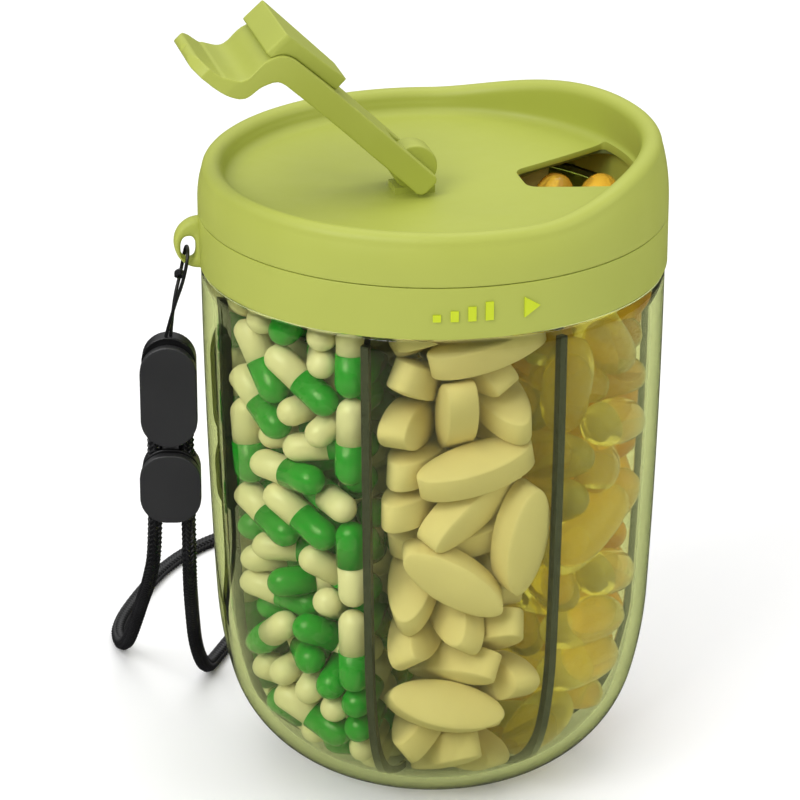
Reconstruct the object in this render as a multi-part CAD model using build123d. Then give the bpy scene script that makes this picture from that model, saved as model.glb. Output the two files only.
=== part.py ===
from build123d import *
from math import cos, sin, tan, radians, degrees, pi
import os

# Travel pill organizer: a clear round cup with seven compartments, a twist-off
# collar with a lanyard eye, a rotating lid with one opening, and a flip lever
# whose stopper closes that opening. Millimetres. The origin is the centre of
# the cup's flat base, +Z is up, and +X points from the axis to the opening.

# ---------------------------------------------------------------- dimensions
BODY_R = 45.0              # outer radius of collar and lid

# cup
CUP_BASE_R = 20.0          # flat resting face
CUP_SHOULDER_Z = 103.9     # the step that the collar stands above
CUP_WALL = 2.3
CUP_FLOOR = 2.1
NECK_R = 43.2
NECK_BORE_R = 41.3
NECK_TOP_Z = 110.2
NECK_BORE_Z = 104.0        # the bore starts here
WALL_START = 12.4          # heading of the wall where it leaves the base, degrees
WALL_ARCS = [(26.6, 75.0), (80.0, 87.0), (1450.0, 89.6)]   # radius, heading at its end

# divider
COMPARTMENTS = 7
FIRST_VANE = -18.1         # degrees from +X
HUB_R = 3.0
VANE_T = 1.2
DIVIDER_LOW_Z = 3.0
VANE_TOP_HUB = 115.4
VANE_TOP_RIM = 116.4
VANE_RIM_R = 40.9
VANE_STEP_Z = (103.0, 104.5)   # the vane narrows here, to pass the neck
EDGE_T = 1.5               # thickness of the dark edge strip
EDGE_DEPTH = 1.5
EDGE_GAP = 0.2             # between strip and cup wall
EDGE_BOND = 0.06           # between strip and vane

# seal on the neck, collar
SEAL_TOP_Z = 111.2
COLLAR_Z = (104.3, 114.2)
COLLAR_BORE_R = 43.5
GROOVE_R = 44.2
GROOVE_Z = (112.0, 113.1)
EYE_AZIMUTH = 174.0        # degrees from +X
EYE_T = 3.5
EYE_ARC = [(44.3, 104.4), (49.8, 108.9), (44.3, 113.9)]
EYE_HOLE_R = 47.1
EYE_HOLE_Z = 108.2
EYE_HOLE = (2.9, 4.6)
MARK_Z = 109.7
MARK_RISE = 0.35
MARK_BAR = 1.5             # width of one raised bar
MARK_BARS = [(-103.0, 1.3), (-98.9, 2.0), (-94.8, 2.75), (-90.7, 3.5)]
MARK_ARROW = (-80.2, 3.1, 3.9)

# rotating lid
LID_Z = 114.45
SKIRT_R = 43.2
SKIRT_BORE_R = 41.6
SKIRT_Z = 111.6
FLOOR_Z = 117.9            # top of the dished floor at the axis
FLOOR_RISE = 1.5           # how much higher it is at FLOOR_RISE_R
FLOOR_RISE_R = 38.0
FLOOR_T = 1.1
INNER_WALL_R = 40.3
RIM_LOW_Z = 124.0
RIM_HIGH_Z = 129.8
RIM_RAMP_X = 10.0          # the rim starts to rise here
RIM_PEAK_X = 41.0
LID_TOP_Z = 131.0
LID_BELT_Z = 117.0         # the outside leans in above this
RIM_SHOULDER = (44.4, 124.5)
RIM_TOP_R = (39.7, 43.0)
WALL_FOOT_Z = 121.6        # the inner wall curves into the floor below this
FLOOR_EDGE_R = 38.4
SNAP_RING_R = (42.8, 44.0)
SNAP_RING_Z = (112.25, 112.85)
GASKET_T = 0.8

# opening
FAN_APEX_X = 4.7
FAN_HALF_ANGLE = 21.0
FAN_INNER_X = 17.4
FAN_OUTER_R = 39.5
FAN_CORNER_R = 2.6

# hinge and lever
HINGE_X = -4.2
HINGE_Z = 123.1
BOSS_R = 4.4
BOSS_T = 5.5
PIN_R = 1.0
PIN_LENGTH = 10.4
LEVER_OPEN = 134.0         # degrees from level to the stored pose; closed is 5 degrees past level
PRONG_IN = 3.05
PRONG_OUT = 6.2
LEVER_BACK = 3.2           # height of the arm's top above the pin, closed
LEVER_FACE = 1.7           # depth of the arm's underside below the pin
SLOT_END = 7.6             # fork slot reaches this far from the pin
FORK_END = 3.9             # the fork's end is this far behind the pin
TOE_R = 1.6
HEEL_R = 1.2
TAB_S = 48.2               # where the tab's rounded tip starts, along the arm from the pin
TAB_H = 13.1               # its height above the pin, level
TAB_T = 2.3
FLARE_S = 13.0             # the arm widens from here
TAB_PLAN = [(41.0, 11.6), (46.6, 11.0), (48.4, 8.4), (49.0, 0.0)]   # along the arm, aside
STOPPER_S = (23.4, 40.9)   # along the arm from the pin
STOPPER_H = (3.6, 2.6)     # its face below the pin, at its inner and outer end
STOPPER_TOP = 2.6          # height of its outer end above the pin
STOPPER_GAP = 0.6          # to the opening's edge

# lanyard
CORD_D = 2.6
CORD_FLOOR_Z = 1.35
STRING_D = 0.7
HANG_TURN = -14.0          # the lanyard hangs turned this much about Z
PAD_X = -50.8              # pads, in the frame turned by HANG_TURN
PAD_Y = -7.0
STRAND_X = (-53.9, -47.7)
STRAND_Y = -6.0
STRAND_TOP_Z = 71.0        # the strands' ends, inside the connector
CONNECTOR = (11.0, 22.3, 5.6)
CONNECTOR_Z = 67.6
SLIDER = (11.9, 14.8, 6.2)
SLIDER_Z = 51.9
PLATE_T = 2.0              # front plate of each pad
PLATE_GAP = 0.01           # between a pad's body and its front plate
PAD_CORNER_R = 5.2

# the wrist loop's route, in the frame turned by HANG_TURN
CORD_ROUTE = [
    (-53.9, STRAND_Y, STRAND_TOP_Z), (-54.0, STRAND_Y, 45.5), (-56.2, -0.5, 34.6),
    (-58.3, 9.5, 26.2), (-60.9, 22.5, 14.9), (-63.7, 34.5, 4.2), (-65.9, 40.8, CORD_FLOOR_Z),
    (-66.9, 49.0, CORD_FLOOR_Z), (-63.9, 62.5, CORD_FLOOR_Z), (-57.9, 81.5, CORD_FLOOR_Z),
    (-47.0, 96.0, CORD_FLOOR_Z), (-29.0, 105.0, CORD_FLOOR_Z), (-11.0, 101.0, CORD_FLOOR_Z),
    (-5.0, 84.0, CORD_FLOOR_Z), (-13.0, 68.5, CORD_FLOOR_Z), (-29.0, 60.5, CORD_FLOOR_Z),
    (-41.0, 47.5, CORD_FLOOR_Z), (-45.4, 33.0, CORD_FLOOR_Z), (-46.9, 26.0, 2.7),
    (-48.2, 16.0, 12.4), (-48.1, 5.0, 26.2), (-47.8, -3.5, 36.4), (-47.6, STRAND_Y, 47.0),
    (-47.7, STRAND_Y, STRAND_TOP_Z),
]

# the thin string's route: radius, sideways offset and height at the eye
STRING_ENDS = [(-51.2, -7.2), (-50.3, -6.6)]
STRING_ROUTE = [
    (50.1, 1.3, 96.6), (48.3, 2.9, 102.2), (47.2, 2.9, 107.9),
    (47.2, -2.9, 107.9), (48.3, -2.9, 102.2), (50.1, -0.9, 96.4),
]


# ------------------------------------------------------------------- helpers
def ring(outer_r, inner_r, low_z, high_z):
    """A plain ring about Z."""
    height = high_z - low_z
    blank = Cylinder(outer_r, height) - Cylinder(inner_r, height + 1)
    return Pos(0, 0, (low_z + high_z) / 2) * blank


def revolved(face):
    """Turn a face drawn in the XZ plane (radius, height) about Z."""
    return revolve(Plane.XZ * face, Axis.Z)


def upright(face, thickness):
    """A plate of the XZ plane, centred on it."""
    return extrude(Plane.XZ * face, thickness / 2, both=True)


def quarter(start, end, centre):
    """The shorter arc from start to end about centre, all in one plane."""
    a, b, c = Vector(*start), Vector(*end), Vector(*centre)
    middle = c + (a + b - c * 2).normalized() * (a - c).length
    return ThreePointArc(a, middle, b)


def polar(radius, azimuth, z=0.0):
    return (radius * cos(radians(azimuth)), radius * sin(radians(azimuth)), z)


def turned(x, y, z):
    """A point of the lanyard's frame in the object's frame."""
    c, s = cos(radians(HANG_TURN)), sin(radians(HANG_TURN))
    return Vector(x * c - y * s, x * s + y * c, z)


def wall_arcs(inset):
    """The cup's outer wall line, moved inwards by inset: tangent arcs from the base up."""
    heading = radians(WALL_START)
    point = Vector(CUP_BASE_R, 0) + Vector(-sin(heading), cos(heading)) * inset
    arcs = []
    for radius, end in WALL_ARCS:
        sweep_angle = end - degrees(heading)
        arcs.append(JernArc(point, (cos(heading), sin(heading)), radius - inset, sweep_angle))
        point = arcs[-1] @ 1
        heading = radians(end)
    return arcs


def floor_z(radius):
    """Top of the lid's dished floor."""
    return FLOOR_Z + FLOOR_RISE * (radius / FLOOR_RISE_R) ** 2


def tube(points, diameter, name):
    """A round cord: straight runs joined by the largest tangent arcs."""
    radii = []
    for before, at, after in zip(points, points[1:], points[2:]):
        turn = (at - before).get_angle(after - at)
        shorter = min((at - before).length, (after - at).length)
        radii.append(0.45 * shorter / tan(radians(turn / 2)))
    path = FilletPolyline(*points, radius=radii)
    section = Plane(origin=path @ 0, z_dir=path % 0) * Circle(diameter / 2)
    solid = sweep(section, path=path)
    area = pi * diameter ** 2 / 4
    print(name, "length", round(path.length, 1), "volume ratio", round(solid.volume / area / path.length, 3))
    print(name, "radii", [round(r, 1) for r in radii])
    return solid


# ----------------------------------------------------------------------- cup
def clear_cup():
    outer = wall_arcs(0)
    inner = wall_arcs(CUP_WALL)
    base = inner[0] @ 0
    top = inner[-1] @ 1
    rim = outer[-1] @ 1
    outline = [
        Line((0, 0), outer[0] @ 0),
        *outer,
        Polyline((rim.X, rim.Y), (rim.X, CUP_SHOULDER_Z),
                 (NECK_R, CUP_SHOULDER_Z), (NECK_R, NECK_TOP_Z),
                 (NECK_BORE_R, NECK_TOP_Z), (NECK_BORE_R, NECK_BORE_Z), (top.X, top.Y)),
        *inner,
        Polyline((base.X, base.Y), (base.X - 2.0, CUP_FLOOR), (0, CUP_FLOOR), (0, 0)),
    ]
    return revolved(make_face(outline))


def divider_hub():
    middle = (DIVIDER_LOW_Z + VANE_TOP_HUB) / 2
    return Pos(0, 0, middle) * Cylinder(HUB_R, VANE_TOP_HUB - DIVIDER_LOW_Z)


def vane_blank():
    """One vane in the XZ plane; its outer edge stops short of the cup wall."""
    edge = wall_arcs(CUP_WALL + EDGE_GAP + EDGE_DEPTH + EDGE_BOND)
    low = edge[0] @ 0
    high = edge[-1] @ 1
    outline = [
        *edge,
        Polyline((high.X, high.Y), (VANE_RIM_R - EDGE_DEPTH, VANE_STEP_Z[0]), (VANE_RIM_R, VANE_STEP_Z[1]),
                 (VANE_RIM_R, VANE_TOP_RIM), (HUB_R + 0.05, VANE_TOP_HUB),
                 (HUB_R + 0.05, low.Y), (low.X, low.Y)),
    ]
    return upright(make_face(outline), VANE_T)


def edge_blank():
    """The dark strip on a vane's outer edge, from the base up to the neck."""
    outside = wall_arcs(CUP_WALL + EDGE_GAP)
    inside = wall_arcs(CUP_WALL + EDGE_GAP + EDGE_DEPTH)
    outline = [
        *outside, Line(outside[-1] @ 1, inside[-1] @ 1),
        *inside, Line(inside[0] @ 0, outside[0] @ 0),
    ]
    return upright(make_face(outline), EDGE_T)


def vane_azimuth(number):
    return FIRST_VANE + 360.0 / COMPARTMENTS * number


# -------------------------------------------------------------------- collar
def collar_ring():
    low, high = COLLAR_Z
    body = ring(BODY_R, COLLAR_BORE_R, low, high) - ring(GROOVE_R, COLLAR_BORE_R - 1, *GROOVE_Z)
    ear_face = make_face([ThreePointArc(*EYE_ARC), Line(EYE_ARC[2], EYE_ARC[0])])
    hole = Pos(EYE_HOLE_R, EYE_HOLE_Z) * SlotOverall(EYE_HOLE[1], EYE_HOLE[0], rotation=90)
    ear = Rot(0, 0, EYE_AZIMUTH) * upright(ear_face - hole, EYE_T)
    return body + ear


def twist_marking():
    """Raised bars that grow towards a raised arrow, on the collar's outside."""
    skin = ring(BODY_R + MARK_RISE, BODY_R + 0.01, *COLLAR_Z)
    solids = []
    for azimuth, height in MARK_BARS:
        bar = Box(10, MARK_BAR, height)
        solids.append(skin & (Rot(0, 0, azimuth) * Pos(BODY_R, 0, MARK_Z - 1.75 + height / 2) * bar))
    azimuth, width, height = MARK_ARROW
    arrow = Polygon((-width / 2, -height / 2), (width / 2, 0), (-width / 2, height / 2), align=None)
    prism = extrude(Plane((BODY_R - 4, 0, MARK_Z), x_dir=(0, 1, 0), z_dir=(1, 0, 0)) * arrow, 8)
    solids.append(skin & (Rot(0, 0, azimuth) * prism))
    return Compound([s.solid() for s in solids])


# ----------------------------------------------------------------------- lid
def fan(grow):
    """The opening's outline, grown or shrunk by grow."""
    reach = 60.0
    side = reach * tan(radians(FAN_HALF_ANGLE))
    wedge = Polygon((FAN_APEX_X, 0), (FAN_APEX_X + reach, -side), (FAN_APEX_X + reach, side), align=None)
    far = wedge & Circle(FAN_OUTER_R)
    shape = far & (Pos(FAN_INNER_X + reach / 2, 0) * Rectangle(reach, 2 * reach))
    shape = fillet(shape.vertices(), FAN_CORNER_R)
    if grow == 0:
        return shape
    return offset(shape, grow, kind=Kind.ARC)


def rim_cutter():
    """Everything above the rim: level behind, rising towards the opening."""
    ramp = Spline((RIM_RAMP_X, RIM_LOW_Z), (RIM_PEAK_X, RIM_HIGH_Z), tangents=[(1, 0), (1, 0.12)])
    end = ramp @ 1
    outline = [
        Line((-60, RIM_LOW_Z), (RIM_RAMP_X, RIM_LOW_Z)),
        ramp,
        Polyline((end.X, end.Y), (60, RIM_HIGH_Z + 1), (60, 160), (-60, 160), (-60, RIM_LOW_Z)),
    ]
    return upright(make_face(outline), 120)


def floor_line(drop):
    """The dished floor's line, from the axis outwards, lowered by drop."""
    reach = SKIRT_BORE_R
    return ThreePointArc((0, floor_z(0) - drop), (reach / 2, floor_z(reach / 2) - drop),
                         (reach, floor_z(reach) - drop))


def rotating_lid():
    under = floor_line(FLOOR_T)
    edge = (FLOOR_EDGE_R, floor_z(FLOOR_EDGE_R))
    half = FLOOR_EDGE_R / 2
    over = ThreePointArc((0, floor_z(0)), (half, floor_z(half)), edge)
    crest = (RIM_TOP_R[1], LID_TOP_Z)
    outside = Spline((BODY_R, LID_BELT_Z), RIM_SHOULDER, crest, tangents=[(0, 1), (-0.35, 1)])
    outline = [
        Polyline((0, floor_z(0)), (0, floor_z(0) - FLOOR_T)),
        under,
        Polyline((SKIRT_BORE_R, floor_z(SKIRT_BORE_R) - FLOOR_T), (SKIRT_BORE_R, SKIRT_Z),
                 (SKIRT_R, SKIRT_Z), (SKIRT_R, LID_Z), (BODY_R, LID_Z), (BODY_R, LID_BELT_Z)),
        outside,
        Polyline(crest, (RIM_TOP_R[0], LID_TOP_Z), (INNER_WALL_R, WALL_FOOT_Z)),
        Spline((INNER_WALL_R, WALL_FOOT_Z), edge, tangents=[(0, -1), (-1, -0.08)]),
        over,
    ]
    body = revolved(make_face(outline)) - rim_cutter()
    body -= ring(SKIRT_R + 1, SNAP_RING_R[0] - 0.1, SNAP_RING_Z[0] - 0.15, SNAP_RING_Z[1] + 0.15)
    boss = Pos(HINGE_X, 0, HINGE_Z) * Rot(90, 0, 0) * Cylinder(BOSS_R, BOSS_T)
    foot = Pos(HINGE_X, 0, FLOOR_Z + 0.6) * Box(1.3 * BOSS_R, BOSS_T, 1.8)
    bore = Pos(HINGE_X, 0, HINGE_Z) * Rot(90, 0, 0) * Cylinder(PIN_R + 0.02, 2 * BOSS_T)
    opening = extrude(fan(0), 30)
    return body + boss + foot - bore - Pos(0, 0, 112) * opening


def gasket_disc():
    """Soft disc under the lid's floor, with the same opening, a little wider."""
    low = FLOOR_T + GASKET_T
    outline = [
        Line((0, floor_z(0) - low), (0, floor_z(0) - FLOOR_T - 0.02)),
        floor_line(FLOOR_T + 0.02),
        Line((SKIRT_BORE_R, floor_z(SKIRT_BORE_R) - FLOOR_T - 0.02),
             (SKIRT_BORE_R, floor_z(SKIRT_BORE_R) - low)),
        floor_line(low),
    ]
    disc = revolved(make_face(outline)) & Cylinder(SKIRT_BORE_R - 0.05, 400)
    return disc - Pos(0, 0, 105) * extrude(fan(0.9), 30)


def lid_snap_ring():
    """Split spring ring that holds the lid down in the collar's groove."""
    band = ring(SNAP_RING_R[1], SNAP_RING_R[0], *SNAP_RING_Z)
    return band - Rot(0, 0, 200) * Pos(43, 0, SNAP_RING_Z[0]) * Box(6, 3.0, 4)


def hinge_pin():
    return Pos(HINGE_X, 0, HINGE_Z) * Rot(90, 0, 0) * Cylinder(PIN_R, PIN_LENGTH)


# --------------------------------------------------------------------- lever
# The lever is drawn closed, with the pin at the origin and the arm along +X,
# then turned up about the pin into the stored pose.
def at_hinge(shape):
    return Pos(HINGE_X, 0, HINGE_Z) * Rot(0, -LEVER_OPEN, 0) * shape


def lever_plan():
    """The lever seen from above: a fork that flares to the finger tab."""
    start = (FLARE_S, PRONG_OUT)
    wide, corner, nose, end = TAB_PLAN
    half = make_face([
        Polyline((-8.0, 0), (-8.0, PRONG_OUT), start),
        Spline(start, wide, tangents=[(1, 0), (1, 0.1)]),
        Line(wide, corner),
        ThreePointArc(corner, nose, end),
        Line(end, (-8.0, 0)),
    ])
    return half + mirror(half, Plane.XZ)


def lever_profile():
    """The lever seen from the side, as (along, up) from the hinge: fork, arm, S-bend and tab."""
    under = -LEVER_FACE
    heel = (-FORK_END, under + HEEL_R)
    toe = (-FORK_END, LEVER_BACK - TOE_R)
    tip = (TAB_S - 0.1, TAB_H - TAB_T / 2), (TAB_S + 1.2, TAB_H), (TAB_S - 0.2, TAB_H + TAB_T / 2)
    bend = [(34.5, -0.2), (38.9, 1.8), (39.9, 5.6), (40.6, 9.4), (43.4, 11.0), tip[0]]
    back = [tip[2], (40.0, 13.1), (37.4, 11.4), (36.7, 8.4), (35.4, 5.7), (32.5, 4.6)]
    return make_face([
        quarter((toe[0] + TOE_R, LEVER_BACK), toe, (toe[0] + TOE_R, toe[1])),
        Line(toe, heel),
        quarter(heel, (heel[0] + HEEL_R, under), (heel[0] + HEEL_R, heel[1])),
        Line((heel[0] + HEEL_R, under), bend[0]),
        Spline(*bend, tangents=[(1, 0.05), (1, 0.12)]),
        ThreePointArc(*tip),
        Spline(*back, tangents=[(-1, -0.08), (-1, -0.06)]),
        Line(back[-1], (toe[0] + TOE_R, LEVER_BACK)),
    ])


def lever_blank():
    return upright(lever_profile(), 40) & extrude(lever_plan(), 40, both=True)


def lever_arm():
    """The lever: its fork straddles the boss on the lid, and its tab is for the finger."""
    slot = Pos(SLOT_END - 12, 0, 0) * Box(24, 2 * PRONG_IN, 20)
    bore = Rot(90, 0, 0) * Cylinder(PIN_R + 0.06, PIN_LENGTH + 0.3)
    return at_hinge(lever_blank() - slot - bore)


def lever_stopper():
    """Soft stopper on the arm's closing side that fills the opening."""
    inner, outer = STOPPER_S
    side = make_face(Polyline(
        (inner, -STOPPER_H[0]), (outer - 0.3, -STOPPER_H[1]),
        (outer, STOPPER_TOP), (inner, STOPPER_TOP), close=True))
    outline = extrude(Pos(-HINGE_X, 0) * fan(-STOPPER_GAP), 20, both=True)
    block = upright(side, 40) & outline
    return at_hinge(block - Pos(0, 0, -0.03) * lever_blank())


# ------------------------------------------------------------------- lanyard
def hang(shape):
    return Rot(0, 0, HANG_TURN) * shape


def pad(width, height, low_z, front, thickness):
    """A pad with round ends; its front face is front mm before PAD_Y."""
    if height > 1.4 * width:
        outline = SlotOverall(height, width, rotation=90)
    else:
        outline = RectangleRounded(width, height, PAD_CORNER_R)
    plate = extrude(Plane.XZ * Pos(PAD_X, low_z + height / 2) * outline, thickness)
    return Pos(0, PAD_Y - front + thickness, 0) * plate


def strand_bores(diameter):
    """Straight holes for the two strands, up to just above their ends."""
    reach = 60.0
    middle = STRAND_TOP_Z + 0.1 - reach / 2
    bores = [Pos(x, STRAND_Y, middle) * Cylinder(diameter / 2, reach) for x in STRAND_X]
    return bores[0] + bores[1]


def connector_back():
    width, height, depth = CONNECTOR
    body = pad(width - 0.5, height, CONNECTOR_Z, depth / 2 - PLATE_T - PLATE_GAP, depth - PLATE_T - PLATE_GAP)
    return hang(body - strand_bores(CORD_D + 0.1))


def connector_front():
    width, height, depth = CONNECTOR
    return hang(pad(width, height - 1.6, CONNECTOR_Z + 0.2, depth / 2, PLATE_T))


def slider_back():
    width, height, depth = SLIDER
    body = pad(width - 0.5, height, SLIDER_Z, depth / 2 - PLATE_T - PLATE_GAP, depth - PLATE_T - PLATE_GAP)
    return hang(body - strand_bores(CORD_D + 0.5))


def slider_front():
    width, height, depth = SLIDER
    return hang(pad(width, height - 0.6, SLIDER_Z, depth / 2, PLATE_T))


def wrist_cord():
    return tube([turned(*p) for p in CORD_ROUTE], CORD_D, "wrist_cord")


def lanyard_string():
    """One thin string: up from the connector, through the eye and back."""
    def at_eye(radius, aside, z):
        out = Vector(*polar(1, EYE_AZIMUTH))
        return out * radius + Vector(-out.Y, out.X) * aside + Vector(0, 0, z)

    ends = [turned(x, y, CONNECTOR_Z + CONNECTOR[1]) for x, y in STRING_ENDS]
    return tube([ends[0], *[at_eye(*p) for p in STRING_ROUTE], ends[1]], STRING_D, "lanyard_string")


# --------------------------------------------------------------------- parts
def all_parts():
    parts = {
        "clear_cup": clear_cup(),
        "divider_hub": divider_hub(),
        "cup_seal_ring": ring(NECK_R + 0.1, NECK_BORE_R + 0.2, NECK_TOP_Z + 0.02, SEAL_TOP_Z),
        "collar_ring": collar_ring(),
        "twist_marking": twist_marking(),
        "rotating_lid": rotating_lid(),
        "gasket_disc": gasket_disc(),
        "lid_snap_ring": lid_snap_ring(),
        "hinge_pin": hinge_pin(),
        "lever_arm": lever_arm(),
        "lever_stopper": lever_stopper(),
        "lanyard_string": lanyard_string(),
        "connector_back": connector_back(),
        "connector_front": connector_front(),
        "slider_back": slider_back(),
        "slider_front": slider_front(),
        "wrist_cord": wrist_cord(),
    }
    vane, edge = vane_blank(), edge_blank()
    for number in range(COMPARTMENTS):
        turn = Rot(0, 0, vane_azimuth(number))
        parts[f"divider_vane_{number + 1}"] = turn * vane
        parts[f"vane_edge_{number + 1}"] = turn * edge
    return parts


os.makedirs("parts", exist_ok=True)
for node, shape in all_parts().items():
    shape.label = node
    export_step(shape, f"parts/{node}.step")
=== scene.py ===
import math
import random

import bmesh
import bpy
from mathutils import Matrix, Quaternion, Vector


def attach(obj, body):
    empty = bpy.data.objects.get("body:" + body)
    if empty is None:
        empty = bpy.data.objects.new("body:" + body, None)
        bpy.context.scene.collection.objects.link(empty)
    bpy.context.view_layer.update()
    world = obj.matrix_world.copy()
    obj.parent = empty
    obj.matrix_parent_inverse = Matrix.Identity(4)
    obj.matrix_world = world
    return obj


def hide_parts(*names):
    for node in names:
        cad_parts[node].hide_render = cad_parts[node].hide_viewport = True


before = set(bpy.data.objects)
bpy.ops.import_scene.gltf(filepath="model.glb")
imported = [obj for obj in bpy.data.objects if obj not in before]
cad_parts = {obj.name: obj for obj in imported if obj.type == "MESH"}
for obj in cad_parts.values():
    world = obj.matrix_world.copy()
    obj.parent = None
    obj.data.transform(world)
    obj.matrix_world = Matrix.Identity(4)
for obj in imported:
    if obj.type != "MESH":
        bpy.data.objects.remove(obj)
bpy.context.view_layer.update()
MM = 0.001


# ------------------------------------------------------------- measures (mm)
HANG_TURN = math.radians(-14.0)    # the lanyard hangs turned this much about Z
COMPARTMENTS = 7
FIRST_VANE = -18.1                 # degrees from +X
COMPARTMENT_STEP = 360.0 / COMPARTMENTS

# the cup's wall: tangent arcs from the base up, each with its radius and its heading at its end
CUP_BASE_R = 20.0
WALL_START = 12.4
WALL_ARCS = [(26.6, 75.0), (80.0, 87.0), (1450.0, 89.6)]
CUP_WALL = 2.3
CUP_FLOOR = 2.1                    # thickness at the middle
CUP_SHOULDER_Z = 103.9
NECK = (43.2, 41.3, 110.2)         # outside, bore, top
NECK_BORE_Z = 104.0                # the bore starts here

COLLAR = (45.0, 43.5, 104.3, 114.32)   # outside, bore, low edge, top
EYE_AZIMUTH = math.radians(174.0)
EYE_CENTRE = (47.1, 108.2)         # radius, height of the hole
EYE_HOLE = (1.45, 2.3)             # half width, half height
EYE_ARC = (44.75, 109.15, 5.05)    # the outer arc's centre radius and height, and its own radius
EYE_ROOT_R = 44.2                  # the ear ends here, inside the collar
EYE_HALF_T = 1.75

LID_R = 45.0
LID_LOW_Z = 114.45
LIP_R = 2.0                        # radius of the rim's round lip
LIP_CIRCLE = (42.15, 41.55)        # its circle's radius, low side and high side
LIP_Z = (122.1, 127.25)            # its centre height, low side and high side
RAMP_X = (9.0, 41.0)               # the rim climbs between these
WALL_R = 39.95                     # the dish's upright wall starts here
WALL_Z = 121.3
BELT = (116.6, 115.6)              # the outside is upright between these
FLOOR_Z = 117.9                    # at the axis
FLOOR_RISE = 1.5 / 38.0 ** 2       # the floor dishes up by this times the radius squared
FLOOR_T = 1.1
FLOOR_EDGE_R = 37.4
SKIRT = (43.2, 41.6, 111.6)        # outside, bore, low edge

FAN_APEX_X = 4.7                   # where the opening's two straight sides would meet
FAN_HALF_ANGLE = math.radians(21.0)
FAN_INNER_X = 17.4
FAN_OUTER_R = 39.5
FAN_CORNER_R = 2.6
FAN_CUT_Z = (108.0, 122.8)

HINGE = (-4.2, 123.1)              # x, z
BOSS = (4.4, 5.5)                  # radius, thickness
BOSS_FOOT = (3.9, 0.3, 1.4)        # half length, depth under the floor, height over it

CORD_D = 2.6
CORD_FLOOR_Z = 1.35
STRAND_Y = -6.0
STRAND_TOP_Z = 71.0
CORD_ROUTE = [
    (-53.9, STRAND_Y, STRAND_TOP_Z), (-54.0, STRAND_Y, 45.5), (-56.2, -0.5, 34.6),
    (-58.3, 9.5, 26.2), (-60.9, 22.5, 14.9), (-63.7, 34.5, 4.2), (-65.9, 40.8, CORD_FLOOR_Z),
    (-66.9, 49.0, CORD_FLOOR_Z), (-63.9, 62.5, CORD_FLOOR_Z), (-57.9, 81.5, CORD_FLOOR_Z),
    (-47.0, 96.0, CORD_FLOOR_Z), (-29.0, 105.0, CORD_FLOOR_Z), (-11.0, 101.0, CORD_FLOOR_Z),
    (-5.0, 84.0, CORD_FLOOR_Z), (-13.0, 68.5, CORD_FLOOR_Z), (-29.0, 60.5, CORD_FLOOR_Z),
    (-41.0, 47.5, CORD_FLOOR_Z), (-45.4, 33.0, CORD_FLOOR_Z), (-46.9, 26.0, 2.7),
    (-48.2, 16.0, 12.4), (-48.1, 5.0, 26.2), (-47.8, -3.5, 36.4), (-47.6, STRAND_Y, 47.0),
    (-47.7, STRAND_Y, STRAND_TOP_Z),
]
STRING_D = 0.7
STRING_END_Z = 89.9
STRING_ENDS = [(-51.2, -7.2), (-50.3, -6.6)]
STRING_ROUTE = [                   # radius, sideways offset and height, at the eye
    (50.1, 1.3, 96.6), (48.3, 2.9, 102.2), (47.2, 2.9, 107.9),
    (47.2, -2.9, 107.9), (48.3, -2.9, 102.2), (50.1, -0.9, 96.4),
]
HITCH_CENTRE = (48.75, 102.6)      # radius, height
HITCH_REACH = (0.75, 1.155, 0.9)   # out, sideways, up
HITCH_RISE = 0.75
HITCH_TURNS = 2.3

# how finely the CAD nodes are remeshed for soft edges, and how many times they are smoothed
PAD_SOFT = (0.16, 8)
LEVER_SOFT = (0.22, 6)
STOPPER_SOFT = (0.2, 8)


# ------------------------------------------------------------------- helpers
def point(x, y, z):
    """A point of the frame, from mm."""
    return Vector((x, y, z)) * MM


def hung(x, y, z):
    """A point of the lanyard's turned frame."""
    return Matrix.Rotation(HANG_TURN, 3, "Z") @ point(x, y, z)


def add_object(name, data):
    made = bpy.data.objects.new(name, data)
    bpy.context.scene.collection.objects.link(made)
    return made


def mesh_object(name, verts, faces, smooth=True):
    mesh = bpy.data.meshes.new(name)
    mesh.from_pydata([tuple(v) for v in verts], [], faces)
    mesh.validate()
    mesh.update()
    if smooth:
        mesh.shade_smooth()
    return add_object(name, mesh)


def fix_normals(obj):
    bm = bmesh.new()
    bm.from_mesh(obj.data)
    bmesh.ops.recalc_face_normals(bm, faces=bm.faces)
    bm.to_mesh(obj.data)
    bm.free()


def applied(obj):
    """Puts the modifiers' result into the mesh."""
    graph = bpy.context.evaluated_depsgraph_get()
    mesh = bpy.data.meshes.new_from_object(obj.evaluated_get(graph))
    obj.modifiers.clear()
    obj.data = mesh


ON_AXIS = 1e-6                     # a smaller radius than this is a pole


def lathe(name, profile, segments, closed, place=None):
    """Turns (radius, height) points in mm about Z. A closed profile joins its last point to its first."""
    verts, rings = [], []
    for radius, height in profile:
        if radius < ON_AXIS:
            rings.append([len(verts)])
            verts.append(point(0, 0, height))
            continue
        rings.append(list(range(len(verts), len(verts) + segments)))
        for step in range(segments):
            turn = 2 * math.pi * step / segments
            verts.append(point(radius * math.cos(turn), radius * math.sin(turn), height))
    faces = bridged(rings, segments, closed)
    obj = mesh_object(name, verts, faces)
    if place is not None:
        obj.data.transform(place)
    fix_normals(obj)
    return obj


def bridged(rings, segments, closed):
    """Faces between rows of vertices that each go once round."""
    faces = []
    pairs = list(zip(rings, rings[1:]))
    if closed:
        pairs.append((rings[-1], rings[0]))
    for low, high in pairs:
        for step in range(segments):
            after = (step + 1) % segments
            if len(low) == 1:
                faces.append((low[0], high[step], high[after]))
            elif len(high) == 1:
                faces.append((low[after], low[step], high[0]))
            else:
                faces.append((low[step], low[after], high[after], high[step]))
    return faces


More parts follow.
